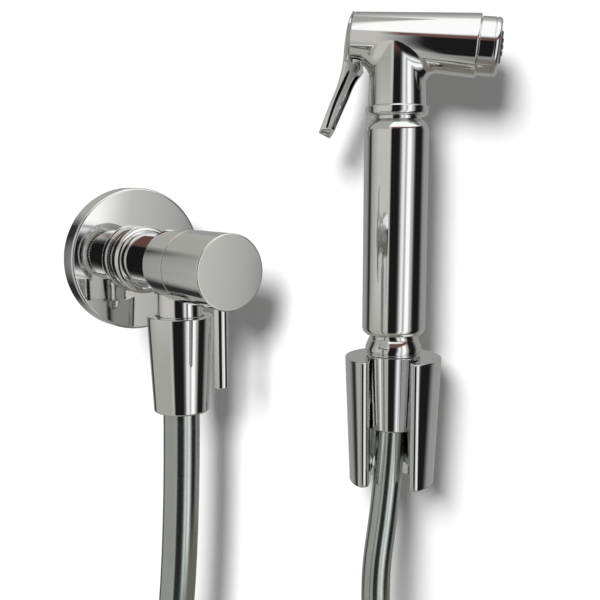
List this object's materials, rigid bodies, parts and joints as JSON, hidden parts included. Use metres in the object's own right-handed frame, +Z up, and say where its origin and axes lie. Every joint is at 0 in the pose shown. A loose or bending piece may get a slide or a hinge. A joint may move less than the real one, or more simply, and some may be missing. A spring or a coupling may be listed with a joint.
{
  "type": "hand shower set with wall valve and holder",
  "caption": "Chrome trigger hand spray in a slotted wall cup, joined by a silver hose to a round quarter-turn wall valve.",
  "frame": {"origin": "centre of the holder's flat wall face, halfway up the cup", "axes": "+Y into the wall, +Z up, +X the way the nozzle points; the cup's slot faces -Y"},
  "size_m": [0.1667, 0.191, 0.4873],
  "materials": {
    "chrome": "polished chrome plate",
    "hose": "smooth silver flexible hose, satin gloss",
    "nozzle_plastic": "moulded grey plastic",
    "rubber": "matt black rubber",
    "ceramic": null,
    "brass": "machined brass",
    "steel": "stainless steel"
  },
  "bodies": {
    "wall_parts": {"rosette": "chrome", "valve_body": "chrome", "cartridge_housing": "brass", "cartridge_o_ring": "rubber", "seat_gasket": "rubber", "fixed_ceramic_disc": "ceramic", "hose_washer_valve": "rubber", "hose_nut_valve": "chrome", "hose_tail_valve": "brass", "crimp_sleeve_valve": "steel", "hose_valve_leg": "hose", "hose_coil": "hose", "hose_ties": "rubber", "hose_spray_leg": "hose", "holder_cup": "chrome", "holder_screws": "steel"},
    "tap_handle": {"valve_handle": "chrome", "handle_pin": "chrome", "spindle": "brass", "rotary_ceramic_disc": "ceramic", "spindle_o_ring": "rubber", "retaining_ring": "steel"},
    "hose_end": {"hose_tail_spray": "brass", "crimp_sleeve_spray": "steel"},
    "hand_spray": {"hose_nut_spray": "chrome", "hose_washer_spray": "rubber", "inlet_filter": "steel", "end_fitting": "chrome", "grip": "chrome", "grip_o_ring": "rubber", "spray_head": "chrome", "gland_nut": "brass", "gland_seal": "rubber", "seat_insert": "brass", "nozzle_ring": "chrome", "spray_plate": "nozzle_plastic", "nozzle_o_ring": "rubber", "trigger_pin": "steel", "stem_spring": "steel"},
    "trigger": {"trigger_lever": "chrome"},
    "stem": {"valve_stem": "brass", "poppet_disc": "rubber"}
  },
  "joints": [
    {"name": "tap_turn", "type": "hinge", "parent": "wall_parts", "child": "tap_handle", "pos_m": [-0.07, -0.13, 0.08375], "axis": [0.766, -0.6428, 0], "range_deg": [0, 90]},
    {"name": "spray_lift", "type": "slide", "parent": "wall_parts", "child": "hose_end", "axis": [0, 0, 1], "range_m": [0, 0.045]},
    {"name": "spray_swivel", "type": "hinge", "parent": "hose_end", "child": "hand_spray", "pos_m": [0, -0.026, 0.02], "axis": [0, 0, 1], "continuous": true},
    {"name": "trigger_squeeze", "type": "hinge", "parent": "hand_spray", "child": "trigger", "pos_m": [-0.0194, -0.026, 0.16705], "axis": [0, -1, 0], "range_deg": [0, 18], "stiffness_Nm_per_rad": 0.8, "springref_deg": -10.03},
    {"name": "stem_pull", "type": "slide", "parent": "hand_spray", "child": "stem", "axis": [-0.9949, 0, 0.1011], "range_m": [0, 0.0046], "deforming": ["stem_spring"]}
  ],
  "couplings": [
    {"joint": "stem_pull", "follows": "trigger_squeeze", "m_per_rad": 0.0144}
  ]
}
